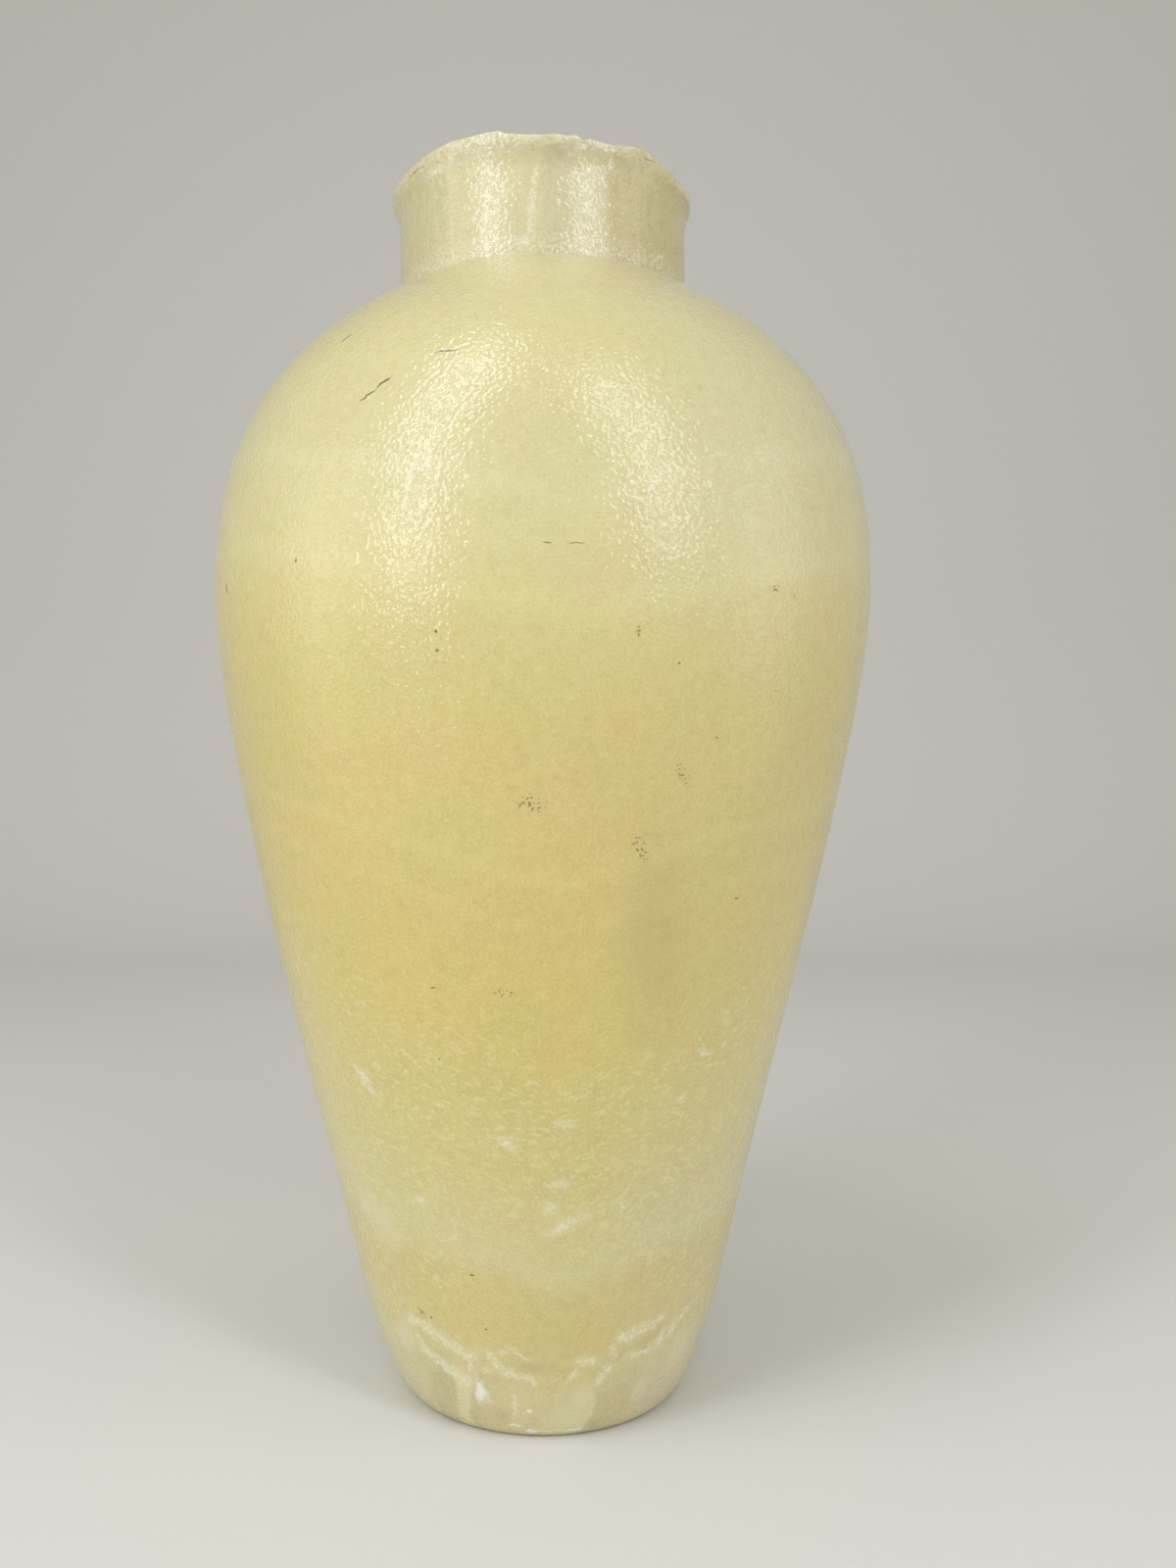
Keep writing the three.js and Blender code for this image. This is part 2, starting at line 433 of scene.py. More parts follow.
class Recipe:
    """Lays the nodes of one material. Lengths in it are millimetres."""

    def __init__(self, name):
        self.material = bpy.data.materials.new(name)
        self.material.use_nodes = True
        self.tree = self.material.node_tree
        self.tree.nodes.clear()

    def add(self, kind, **settings):
        node = self.tree.nodes.new("ShaderNode" + kind)
        for key, value in settings.items():
            setattr(node, key, value)
        return node

    def feed(self, socket, value):
        if isinstance(value, bpy.types.NodeSocket):
            self.tree.links.new(value, socket)
        else:
            socket.default_value = value

    def math(self, operation, *values, clamp=False):
        node = self.add("Math", operation=operation, use_clamp=clamp)
        for socket, value in zip(node.inputs, values):
            self.feed(socket, value)
        return node.outputs[0]

    def vector(self, operation, *values):
        node = self.add("VectorMath", operation=operation)
        for socket, value in zip(node.inputs, values):
            self.feed(socket, value)
        return node.outputs["Value" if operation in ("LENGTH", "DOT_PRODUCT") else "Vector"]

    def scaled(self, value, factor):
        node = self.add("VectorMath", operation="SCALE")
        self.feed(node.inputs["Vector"], value)
        self.feed(node.inputs["Scale"], factor)
        return node.outputs["Vector"]

    def place(self, x, y, z):
        node = self.add("CombineXYZ")
        for socket, value in zip(node.inputs, (x, y, z)):
            self.feed(socket, value)
        return node.outputs[0]

    def noise(self, where, size, detail=2.0, rough=0.5, output="Fac"):
        node = self.add("TexNoise")
        self.feed(node.inputs["Vector"], where)
        node.inputs["Scale"].default_value = 1 / size
        node.inputs["Detail"].default_value = detail
        node.inputs["Roughness"].default_value = rough
        return node.outputs[output]

    def step(self, value, low, high, bottom=0.0, top=1.0):
        """A soft step of a value, from bottom at low to top at high."""
        node = self.add("MapRange", interpolation_type="SMOOTHSTEP")
        for socket, number in zip(node.inputs, (value, low, high, bottom, top)):
            self.feed(socket, number)
        return node.outputs[0]

    def mix(self, share, under, over, blend="MIX"):
        node = self.add("Mix", data_type="RGBA", blend_type=blend)
        self.feed(node.inputs[0], share)
        self.feed(node.inputs[6], under)
        self.feed(node.inputs[7], over)
        return node.outputs[2]

    def ramp(self, value, stops):
        node = self.add("ValToRGB")
        self.feed(node.inputs[0], value)
        elements = node.color_ramp.elements
        while len(elements) < len(stops):
            elements.new(0.5)
        for element, (position, tone) in zip(elements, stops):
            element.position = position
            element.color = (*tone, 1)
        return node.outputs[0]

    def shade(self, value, depth):
        """A grey that swings about the middle by a depth, for an overlay."""
        low, high = 0.5 - depth, 0.5 + depth
        return self.ramp(value, [(0.3, (low, low, low)), (0.7, (high, high, high))])


def rgba(tone):
    """A colour with its alpha."""
    return (*tone, 1)


def tinted(tone, factor):
    """A colour scaled channel by channel."""
    return tuple(a * b for a, b in zip(tone, factor))


# Marks on the front. Each is bearing in degrees, height, half length and half width in millimetres,
# and the tilt in degrees of its length from the level.
PITS = [
    (-27.6, 322.0, 3.2, 0.32, 30),
    (-25.2, 325.4, 3.0, 0.32, 30),
    (-15.6, 333.4, 3.8, 0.26, 0),
    (-38.7, 345.5, 2.4, 0.3, 30),
    (-61.6, 272.7, 0.5, 1.8, 0),
    (-39.0, 275.8, 0.5, 0.4, -30),
    (-15.2, 252.8, 0.35, 0.5, 0),
    (-15.2, 247.6, 0.5, 0.35, 0),
    (20.0, 244.4, 0.3, 0.4, 0),
    (27.6, 223.8, 0.4, 0.3, 0),
    (36.6, 176.5, 1.0, 0.25, 0),
    (-20.6, 150.8, 0.8, 0.25, 0),
    (-21.0, 128.8, 0.3, 0.3, 0),
    (-18.7, 58.6, 0.7, 0.3, 0),
    (-16.0, 40.4, 0.5, 0.3, 0),
    (-33.6, 41.0, 0.5, 0.4, 0),
    (0.6, 276.3, 1.3, 0.18, 0),
    (4.6, 276.3, 2.4, 0.16, 0),
    (41.0, 415.6, 2.6, 0.13, 0),
    (-53.0, 415.8, 5.0, 0.1, 0),
]
PIT_CLUSTERS = [
    (36.4, 267.0, 2.6, 1.6, 0),
    (40.0, 265.6, 2.2, 1.2, 0),
    (13.6, 253.0, 0.9, 2.4, 0),
    (22.2, 213.8, 2.0, 5.0, 30),
    (-1.8, 205.0, 5.0, 3.4, 0),
    (16.0, 192.5, 2.4, 5.5, 30),
    (-7.0, 150.0, 5.0, 1.4, 0),
    (-37.0, 42.0, 2.6, 1.0, -30),
]
STAINS = [
    (24.7, 323.4, 1.5, 1.3, 0),
    (-37.6, 41.0, 2.6, 0.9, 0),
    (-63.0, 286.0, 1.6, 1.4, 0),
    (5.6, 412.4, 3.4, 2.0, 0),
    (-3.0, 28.0, 6.0, 2.0, 0),
    (38.4, 416.0, 6.0, 0.5, 0),
    (-53.0, 415.8, 6.0, 0.5, 0),
    (19.0, 5.0, 2.2, 3.4, 0),
    (22.0, 29.0, 5.0, 1.6, 30),
    (33.0, 33.6, 6.0, 1.8, 30),
    (-14.0, 9.0, 3.0, 3.4, 0),
    (21.0, 165.0, 11.0, 30.0, 0),
]
PALE_PATCHES = [
    (-31.0, 24.0, 5.0, 1.8, -30),
    (-26.8, 18.6, 2.6, 3.4, 0),
    (-27.4, 11.0, 2.2, 6.0, 0),
    (-47.0, 30.0, 5.0, 6.0, 0),
    (8.8, 7.0, 6.0, 5.0, 0),
    (12.6, 15.0, 3.4, 4.0, 0),
    (49.0, 25.0, 5.0, 8.0, -30),
    (34.5, 15.0, 3.0, 5.0, -30),
    (-48.0, 70.0, 13.0, 7.0, -30),
    (-20.2, 17.6, 2.2, 4.4, 0),
    (-4.0, 3.0, 4.4, 1.5, 0),
    (12.0, 3.4, 4.4, 1.7, 0),
]
# Painted glints: pale crystals on the foot, and one at the lip, painted near-white and bluish as if
# catching the lamps.
PAINTED_GLINTS = [
    (-20.4, 17.4, 1.7, 3.2, 0),
    (-4.4, 11.2, 1.2, 0.5, 0),
    (-9.6, 5.4, 2.4, 0.6, 0),
    (-3.4, 3.0, 2.8, 0.8, 0),
    (12.0, 2.9, 3.0, 0.9, 0),
    (14.4, 414.4, 1.0, 1.2, 0),
]
VEINS = [
    (-39.5, 37.8, 4.4, 1.4, 0),
    (-34.6, 36.1, 3.6, 1.8, -30),
    (-30.2, 34.0, 3.4, 1.6, -30),
    (-26.4, 32.0, 3.4, 1.5, -30),
    (-22.8, 30.4, 2.6, 1.2, 0),
    (-39.4, 31.0, 3.0, 0.9, -60),
    (-38.0, 27.6, 3.6, 1.1, -30),
    (-33.6, 25.2, 3.8, 1.4, -30),
    (-29.4, 22.9, 3.6, 1.9, -30),
    (-25.6, 20.6, 2.6, 1.7, -30),
    (-22.2, 27.6, 0.6, 2.4, 0),
    (-15.4, 31.2, 1.9, 1.1, -60),
    (-13.2, 28.0, 2.6, 1.1, -60),
    (-9.6, 25.6, 2.8, 1.3, -30),
    (-17.0, 25.8, 1.3, 0.6, 0),
    (-5.2, 24.4, 1.8, 1.1, 0),
    (-3.0, 22.4, 1.4, 0.9, -30),
    (-7.0, 33.0, 2.6, 0.6, -30),
    (-11.4, 33.4, 1.4, 0.6, 0),
    (-20.6, 20.2, 1.7, 1.7, 0),
    (-19.9, 16.0, 2.0, 3.4, 0),
    (-18.2, 15.6, 1.2, 2.6, 0),
    (-9.2, 14.0, 0.6, 3.2, 0),
    (3.6, 3.0, 3.4, 0.6, 0),
    (9.0, 25.0, 2.0, 1.0, 60),
    (13.4, 29.8, 3.0, 1.4, 0),
    (18.2, 22.6, 2.2, 1.3, 60),
    (20.4, 26.6, 2.4, 1.3, 60),
    (21.4, 31.6, 1.0, 2.6, 0),
    (23.8, 36.4, 2.2, 1.5, 0),
    (26.8, 37.2, 3.0, 1.6, 30),
    (30.6, 38.2, 2.8, 1.4, 30),
    (35.0, 39.4, 2.8, 1.1, 30),
    (30.4, 29.4, 4.4, 1.0, 0),
    (37.6, 31.8, 3.2, 0.9, 60),
    (42.0, 34.8, 3.4, 1.0, 60),
    (46.6, 38.4, 3.2, 0.8, 30),
    (-2.6, 405.0, 0.45, 3.0, 0),
    (-3.7, 400.0, 0.65, 3.2, 0),
    (-4.1, 395.4, 0.9, 2.4, 0),
    (-4.6, 390.6, 0.65, 3.4, 0),
    (-5.4, 387.0, 0.45, 2.2, 0),
    (-6.2, 384.4, 1.5, 1.3, 0),
    (12.6, 414.9, 1.2, 1.0, 0),
    (9.6, 412.2, 0.7, 0.5, 0),
    (26.0, 415.2, 3.0, 0.6, 0),
    (24.6, 412.0, 0.7, 1.8, 0),
    (-34.5, 414.6, 1.4, 1.0, 0),
    (-43.0, 412.8, 4.0, 1.2, 0),
    (-21.4, 417.6, 1.8, 0.4, 0),
    (47.2, 384.8, 1.2, 0.3, 30),
    (51.0, 387.0, 2.4, 0.26, 30),
    (51.6, 384.6, 0.3, 1.4, 0),
    (4.6, 109.6, 2.6, 1.0, 0),
    (-7.8, 103.4, 2.6, 1.0, -30),
    (4.0, 90.4, 2.2, 1.1, 0),
    (1.8, 82.6, 1.8, 1.4, 0),
    (5.2, 76.6, 5.0, 1.4, 30),
    (-31.0, 81.6, 1.6, 1.4, -30),
    (19.6, 81.4, 1.0, 0.8, 0),
    (35.0, 128.6, 1.2, 0.8, 0),
    (31.0, 114.5, 1.2, 0.7, 0),
    (-40.5, 116.6, 3.4, 1.0, -30),
    (-42.5, 120.6, 3.2, 0.9, -30),
]


def turned(recipe, chart, turn):
    """A chart turned about its own zero."""
    across = recipe.vector("DOT_PRODUCT", chart, (math.cos(turn), math.sin(turn), 0.0))
    up = recipe.vector("DOT_PRODUCT", chart, (-math.sin(turn), math.cos(turn), 0.0))
    return recipe.place(across, up, 0.0)


def nearest(recipe, charts, marks, outline):
    """How far a point is from the nearest of some marks, as a share of the mark's own size.
    The charts are turned by thirds of a right angle, and each mark uses the one that suits its tilt."""
    closest = None
    for bearing, height, half_length, half_width, tilt in marks:
        thirds = round(tilt / 30)
        turn = math.radians(30 * (thirds % 3))
        reach = (half_width, half_length) if (thirds // 3) % 2 else (half_length, half_width)
        arc = math.radians(bearing) * outline.radius(height * MM) / MM
        across = arc * math.cos(turn) + height * math.sin(turn)
        up = height * math.cos(turn) - arc * math.sin(turn)
        shares = (1 / reach[0], 1 / reach[1], 0.0)
        centre = (-across / reach[0], -up / reach[1], 0.0)
        off = recipe.vector("LENGTH", recipe.vector("MULTIPLY_ADD", charts[thirds % 3], shares, centre))
        closest = off if closest is None else recipe.math("MINIMUM", closest, off)
    return closest


# Colours along the beds: place as a share of the vase's height, stone, and a factor for each channel
BED_TONES = [
    (0.030, "cloud", (1.05, 1.01, 0.86)),
    (0.080, "honey", (0.975, 0.98, 1.08)),
    (0.122, "honey", (0.98, 0.99, 1.08)),
    (0.143, "honey", (0.985, 1.055, 1.37)),
    (0.200, "honey", (0.985, 1.04, 1.16)),
    (0.320, "honey", (0.995, 0.985, 0.88)),
    (0.420, "honey", (1.0, 0.985, 0.94)),
    (0.530, "honey", (1.02, 1.03, 1.06)),
    (0.590, "honey", (1.05, 1.10, 1.28)),
    (0.640, "straw", (1.05, 1.02, 0.97)),
    (0.700, "straw", (1.0, 1.0, 1.0)),
    (0.800, "straw", (0.97, 0.945, 0.88)),
]
# Thin pale lines along the beds: place as above, and lightness
BED_LINES = [
    (0.124, 0.5),
    (0.140, 0.58),
    (0.175, 0.5),
    (0.396, 0.5),
    (0.4035, 0.58),
    (0.411, 0.5),
    (0.428, 0.5),
    (0.4365, 0.63),
    (0.444, 0.5),
    (0.598, 0.47),
    (0.6125, 0.64),
    (0.630, 0.50),
    (0.674, 0.50),
    (0.688, 0.63),
    (0.702, 0.5),
]
# Upright columns around the neck and the foot: bearing as a share of a turn, with the front at 0.5,
# and a factor of the cloud colour for each channel
# On the neck, the columns at the far sides are painted darker as shade. The paler columns under the two
# lamp highlights, from 0.3955 to 0.497 and, bluest, from 0.532 to 0.562, carry painted highlight over the
# stone's own columns.
NECK_COLUMNS_AND_PAINTED_LIGHT = [
    (0.200, (0.92, 0.89, 0.82)),
    (0.340, (0.93, 0.91, 0.86)),
    (0.3935, (0.94, 0.915, 0.88)),
    (0.3955, (1.03, 1.0, 0.96)),
    (0.497, (1.02, 1.0, 0.98)),
    (0.501, (0.94, 0.93, 0.95)),
    (0.528, (0.96, 0.95, 0.97)),
    (0.532, (0.99, 0.98, 0.98)),
    (0.562, (1.03, 1.02, 1.09)),
    (0.5705, (0.92, 0.86, 0.83)),
    (0.592, (0.91, 0.85, 0.81)),
    (0.612, (0.88, 0.84, 0.76)),
    (0.660, (0.90, 0.85, 0.75)),
    (0.800, (0.92, 0.89, 0.82)),
]
FOOT_COLUMNS = [
    (0.080, (1.05, 1.04, 0.98)),
    (0.330, (0.98, 0.97, 0.86)),
    (0.385, (0.97, 0.93, 0.83)),
    (0.395, (0.87, 0.81, 0.71)),
    (0.412, (0.91, 0.85, 0.76)),
    (0.416, (1.10, 1.09, 1.04)),
    (0.432, (1.16, 1.12, 1.04)),
    (0.435, (0.88, 0.81, 0.66)),
    (0.450, (1.01, 0.95, 0.82)),
    (0.475, (1.09, 1.02, 0.92)),
    (0.5045, (1.06, 0.99, 0.89)),
    (0.5065, (1.12, 1.08, 1.03)),
    (0.5430, (1.15, 1.11, 1.08)),
    (0.5470, (0.94, 0.88, 0.80)),
    (0.5780, (0.94, 0.88, 0.78)),
    (0.5950, (1.02, 0.94, 0.95)),
    (0.6500, (1.04, 0.97, 1.00)),
    (0.7200, (0.96, 0.94, 0.88)),
    (0.8400, (0.92, 0.88, 0.80)),
    (0.9000, (1.05, 1.04, 0.98)),
]
# Tints laid over the stone in clouds, and to the right of the front
GREENISH = (0.94, 1.0, 0.98, 1)
PINKISH = (1.0, 0.96, 1.0, 1)
COOLER = (0.98, 1.0, 1.13, 1)


class Calcite(Recipe):
    """Banded calcite: beds that dip to the front seam, crystals, veins, pits and rubbed wear."""

    def __init__(self, colours, outline):
        super().__init__("banded_calcite")
        self.colours, self.outline = colours, outline
        self.crease = outline.crease / MM
        self.here = self.scaled(self.add("TexCoord").outputs["Object"], 1 / MM)
        split = self.add("SeparateXYZ")
        self.feed(split.inputs[0], self.here)
        self.x, self.y, self.z = split.outputs
        self.bearing = self.math("ARCTAN2", self.x, self.math("MULTIPLY", self.y, -1.0))
        self.inner = self.add("Attribute", attribute_name="inner").outputs["Fac"]
        self.outer = self.math("SUBTRACT", 1.0, self.inner)
        self.on_front = self.math("MULTIPLY", self.step(self.y, 0.0, 20.0, 1.0, 0.0), self.outer)
        self.below_lip = self.add("Attribute", attribute_name="below_lip").outputs["Fac"]
        self.on_neck = self.step(self.z, self.crease - 0.35, self.crease + 0.15)
        self.lay_beds()
        self.draw_charts()
        self.grain = self.noise(self.here, 0.8, 1, 0.6)
        self.mottle = self.noise(self.here, 3.6, 2, 0.6)
        self.column = self.noise(self.vector("MULTIPLY", self.here, (1.0, 1.0, 0.14)), 9, 2, 0.6)
        along_bed = self.place(self.x, self.y, self.math("MULTIPLY", self.thin_bed, 1.3))
        self.crystals = self.noise(along_bed, 1.1, 1, 0.6)
        tone = self.add_columns(self.body_tone())
        tone = self.add_clouds(tone)
        tone = self.add_flecks(tone)
        tone = self.add_veins(tone)
        tone = self.add_bruises(tone)
        tone = self.add_crease_shade_and_dirt(tone)
        self.finish(tone)

    def cloud(self, *factors):
        """The cloud colour, scaled channel by channel."""
        return tinted(self.colours.cloud, factors)

    def lay_beds(self):
        """Beds climb away from the front seam on both sides, and the two sides don't quite match."""
        self.side = self.math("SUBTRACT", self.x, FRONT_SEAM / MM)
        self.aside = self.math("ABSOLUTE", self.side)
        uneven = self.math("MULTIPLY_ADD", self.noise(self.here, 42, 1), 12.0, -6.0)
        bed = self.math("SUBTRACT", self.z, self.math("MULTIPLY", self.aside, BED_DIP))
        bed = self.math("ADD", bed, uneven)
        self.bed = self.math("ADD", bed, self.step(self.side, -0.5, 0.5, -0.8, 0.8))
        fray = self.math("MULTIPLY_ADD", self.noise(self.here, 8, 1), 2.4, -1.2)
        self.thin_bed = self.math("ADD", self.bed, fray)

    def draw_charts(self):
        """Charts of the outside, for the marks: arc length across and height up, with ragged edges."""
        apart = self.vector("ADD", self.here, (70.0, 20.0, 50.0))
        ragged = self.place(self.noise(self.here, 1.7, 0), self.noise(apart, 1.7, 0), 0.0)
        radius = self.vector("LENGTH", self.place(self.x, self.y, 0.0))
        level = self.place(self.math("MULTIPLY", self.bearing, radius), self.z, 0.0)

        def chart(swing):
            shift = self.vector("MULTIPLY_ADD", ragged, (swing, swing, 0.0), (-swing / 2, -swing / 2, 0.0))
            torn = self.vector("ADD", level, shift)
            return [turned(self, torn, math.radians(turn)) for turn in (0, 30, 60)]

        self.charts, self.fine_charts = chart(2.6), chart(0.9)

    def near(self, charts, marks, *edge):
        """A soft step of the distance from the nearest of some marks, in shares of its size."""
        return self.step(nearest(self, charts, marks, self.outline), *edge)

    def body_tone(self):
        """Body colour by bed, from the foot up, paler to the right of the front."""
        tall = self.outline.top / MM
        stops = [(spot, tinted(getattr(self.colours, name), factors)) for spot, name, factors in BED_TONES]
        tone = self.ramp(self.math("DIVIDE", self.bed, tall), stops)
        greys = [(spot, (grey, grey, grey)) for spot, grey in BED_LINES]
        lines = self.ramp(self.math("DIVIDE", self.thin_bed, tall), greys)
        tone = self.mix(0.3, tone, lines, "OVERLAY")
        rise = self.step(self.bearing, math.radians(8), math.radians(36), 0.0, 0.9)
        fall = self.step(self.bearing, math.radians(90), math.radians(165), 1.0, 0.0)
        return self.mix(self.math("MULTIPLY", rise, fall), tone, self.mix(1.0, tone, COOLER, "MULTIPLY"))

    def add_columns(self, tone):
        """Upright columns on the neck, with painted shade at its sides and painted highlight under the
        lamps, and columns below the lowest veins of the foot.
        """
        shifted = self.math("ADD", self.bearing, self.math("MULTIPLY_ADD", self.column, 0.06, -0.03))
        turn_share = self.math("MULTIPLY_ADD", shifted, 1 / math.tau, 0.5)
        # The neck's colours hold painted shade at the sides and painted highlight under the lamps, as well
        # as real columns.
        neck = self.ramp(turn_share, [(spot, self.cloud(*factors)) for spot, factors in NECK_COLUMNS_AND_PAINTED_LIGHT])
        streak = self.noise(self.vector("MULTIPLY", self.here, (1.0, 1.0, 0.1)), 1.8, 1, 0.6)
        streak = self.ramp(streak, [(0.3, (0.38, 0.38, 0.39)), (0.7, (0.62, 0.62, 0.61))])
        tone = self.mix(self.on_neck, tone, self.mix(0.2, neck, streak, "OVERLAY"))
        leaning = self.math("MULTIPLY_ADD", self.noise(self.here, 11, 1), 0.036, -0.018)
        leaning = self.math("ADD", leaning, self.math("MULTIPLY_ADD", self.z, -0.0007, 0.0084))
        foot = [(spot, self.cloud(*factors)) for spot, factors in FOOT_COLUMNS]
        foot = self.ramp(self.math("ADD", turn_share, leaning), foot)
        edge = self.math("ADD", self.bed, self.math("MULTIPLY_ADD", self.column, 14.0, -7.0))
        return self.mix(self.step(edge, 12.0, 24.0, 0.9, 0.0), tone, foot)

    def add_clouds(self, tone):
        """Clouds of tint, mottling and grain."""
        clouds = self.add("SeparateColor")
        self.feed(clouds.inputs[0], self.noise(self.here, 30, 1, 0.5, "Color"))
        self.green, pink, _ = clouds.outputs
        for cloud, tint in ((self.green, GREENISH), (pink, PINKISH)):
            share = self.step(cloud, 0.48, 0.62, 0.0, 0.4)
            tone = self.mix(share, tone, self.mix(1.0, tone, tint, "MULTIPLY"))
        tone = self.mix(0.14, tone, self.shade(self.mottle, 0.20), "OVERLAY")
        return self.mix(0.22, tone, self.shade(self.grain, 0.22), "OVERLAY")

    def add_flecks(self, tone):
        """Flecks in rings above the foot, over a taller stretch at the sides."""
        along_bed = self.place(self.x, self.y, self.math("MULTIPLY", self.thin_bed, 1.8))
        fleck = self.noise(along_bed, 2.9, 1, 0.6)
        floor = self.step(self.math("MULTIPLY_ADD", self.aside, 0.9, self.z), 60.0, 92.0)
        ceiling = self.step(self.math("MULTIPLY_ADD", self.aside, -0.4, self.z), 112.0, 150.0, 1.0, 0.0)
        flecks = self.math("MULTIPLY", self.step(fleck, 0.57, 0.635), self.math("MULTIPLY", floor, ceiling))
        flecks = self.math("MULTIPLY", flecks, self.step(self.green, 0.36, 0.56, 0.75, 1.0))
        return self.mix(self.math("MULTIPLY", flecks, 0.44), tone, rgba(self.cloud(1.17, 1.2, 1.1)))

    def add_veins(self, tone):
        """Pale patches, veins, and painted glints on pale crystals, on the front."""
        patch = self.near(self.charts, PALE_PATCHES, 0.5, 1.3, 0.5, 0.0)
        patch = self.math("MULTIPLY", patch, self.on_front)
        tone = self.mix(patch, tone, rgba(self.cloud(1.14, 1.14, 1.2)))
        from_vein = nearest(self, self.charts, VEINS, self.outline)
        broken = self.step(self.crystals, 0.44, 0.6, 0.08, 1.0)
        core = self.math("MULTIPLY", self.step(from_vein, 0.3, 1.7, 1.0, 0.0), broken)
        vein = self.math("MULTIPLY_ADD", core, 0.62, self.step(from_vein, 0.2, 2.6, 0.27, 0.0))
        tone = self.mix(self.math("MULTIPLY", vein, self.on_front), tone, rgba(self.colours.milk))
        # Painted highlight: near-white glints on a few pale crystals.
        bright = self.near(self.charts, PAINTED_GLINTS, 0.4, 1.3, 0.9, 0.0)
        white = rgba(tinted(self.colours.milk, (1.1, 1.14, 1.36)))
        return self.mix(self.math("MULTIPLY", bright, self.on_front), tone, white)

    def add_bruises(self, tone):
        """White grains along the crease, bruises below the lip, and the lip's worn rim."""
        by_crease = self.step(self.z, self.crease + 1.5, self.crease + 9.0, 1.0, 0.0)
        by_crease = self.math("MULTIPLY", self.on_neck, by_crease)
        by_crease = self.math("MULTIPLY", by_crease, self.step(self.grain, 0.36, 0.66))
        by_lip = self.step(self.noise(self.here, 3.0, 2, 0.65), 0.46, 0.64)
        by_lip = self.math("MULTIPLY", self.step(self.below_lip, 2.0, 8.5, 1.0, 0.0), by_lip)
        edges = self.math("MULTIPLY", self.math("MAXIMUM", by_crease, by_lip), self.outer)
        tone = self.mix(self.math("MULTIPLY", edges, 0.52), tone, rgba(self.colours.milk))
        rim = self.step(self.below_lip, 2.5, 9.0, 0.42, 0.0)
        return self.mix(rim, tone, rgba(self.cloud(0.99, 0.97, 1.16)))

    def add_crease_shade_and_dirt(self, tone):
        """Painted shade under the crease, stains, pits and cracks, and a darker hollow."""
        # Painted shade: a tan band from 3 mm below the crease up to it, darkest at the crease, outside
        # only.
        crease_shade = self.step(self.z, self.crease - 3.0, self.crease - 0.5, 0.0, 0.3)
        crease_shade = self.math("MULTIPLY", crease_shade, self.math("SUBTRACT", 1.0, self.on_neck))
        tone = self.mix(self.math("MULTIPLY", crease_shade, self.outer), tone, rgba(self.colours.tan))
        stain = self.math("MULTIPLY", self.near(self.charts, STAINS, 0.1, 1.6, 1.0, 0.0), self.on_front)
        tone = self.mix(self.math("MULTIPLY", stain, 0.32), tone, rgba(self.colours.tan))
        specks = self.step(self.noise(self.here, 0.8, 0, 0.5), 0.58, 0.64)
        cluster = self.near(self.fine_charts, PIT_CLUSTERS, 0.3, 1.2, 0.8, 0.0)
        pit = self.near(self.fine_charts, PITS, 0.6, 1.3, 1.0, 0.0)
        pit = self.math("MAXIMUM", pit, self.math("MULTIPLY", cluster, specks))
        self.pit = self.math("MULTIPLY", pit, self.on_front)
        tone = self.mix(self.math("MULTIPLY", self.pit, 0.85), tone, rgba(self.colours.soil))
        # The hollow is painted darker than the outside.
        return self.mix(self.math("MULTIPLY", self.inner, 0.45), tone, rgba(self.cloud(0.82, 0.78, 0.70)))

    def relief(self, height):
        """A bumpy normal from a height in millimetres."""
        bump = self.add("Bump")
        bump.inputs["Strength"].default_value = 1.0
        bump.inputs["Distance"].default_value = MM
        self.feed(bump.inputs["Height"], height)
        return bump.outputs[0]

    def stone_relief(self):
        """Crystals, a little longer along the beds, and the worn lip."""
        flattened = self.vector("MULTIPLY", self.here, (0.75, 0.75, 1.2))
        height = self.math("MULTIPLY", self.noise(flattened, 1.15, 1, 0.5), 0.13)
        height = self.math("MULTIPLY_ADD", self.grain, 0.05, height)
        rim = self.step(self.below_lip, 3.0, 7.0, 0.5, 0.0)
        rim = self.math("MULTIPLY", rim, self.noise(self.here, 1.8, 1, 0.7))
        return self.relief(self.math("ADD", height, rim))

    def roughness(self):
        """Roughness under the polish: smoother on the neck, rougher in the pits, the hollow and the lip."""
        rough = self.math("MULTIPLY_ADD", self.mottle, 0.14, -0.07)
        rough = self.math("ADD", self.colours.polish + 0.24, rough)
        rough = self.math("SUBTRACT", rough, self.math("MULTIPLY", self.on_neck, 0.06))
        rough = self.math("ADD", rough, self.math("MULTIPLY", self.pit, 0.4))
        rough = self.math("ADD", rough, self.math("MULTIPLY", self.inner, 0.35))
        return self.math("ADD", rough, self.step(self.below_lip, 3.0, 6.0, 0.2, 0.0), clamp=True)

    def finish(self, tone):
        """The shader. Crystal facets just under the polish glitter in the lamps."""
        shader = self.add("BsdfPrincipled")
        self.feed(shader.inputs["Base Color"], tone)
        self.feed(shader.inputs["Roughness"], self.roughness())
        self.feed(shader.inputs["Normal"], self.stone_relief())
        facets = self.math("MULTIPLY", self.noise(self.here, 1.3, 0), 0.31)
        self.feed(shader.inputs["Coat Normal"], self.relief(facets))
        self.feed(shader.inputs["Coat Weight"], self.math("MULTIPLY", self.outer, 0.8))
        shader.inputs["Coat Roughness"].default_value = self.colours.polish
        shader.inputs["Coat IOR"].default_value = 1.55
        shader.inputs["IOR"].default_value = 1.5
        shader.inputs["Specular IOR Level"].default_value = 0.3
        shader.inputs["Subsurface Weight"].default_value = 0.18
        shader.inputs["Subsurface Radius"].default_value = (1.0, 0.8, 0.4)
        shader.inputs["Subsurface Scale"].default_value = 4 * MM
        self.feed(self.add("OutputMaterial").inputs["Surface"], shader.outputs[0])


# The studio


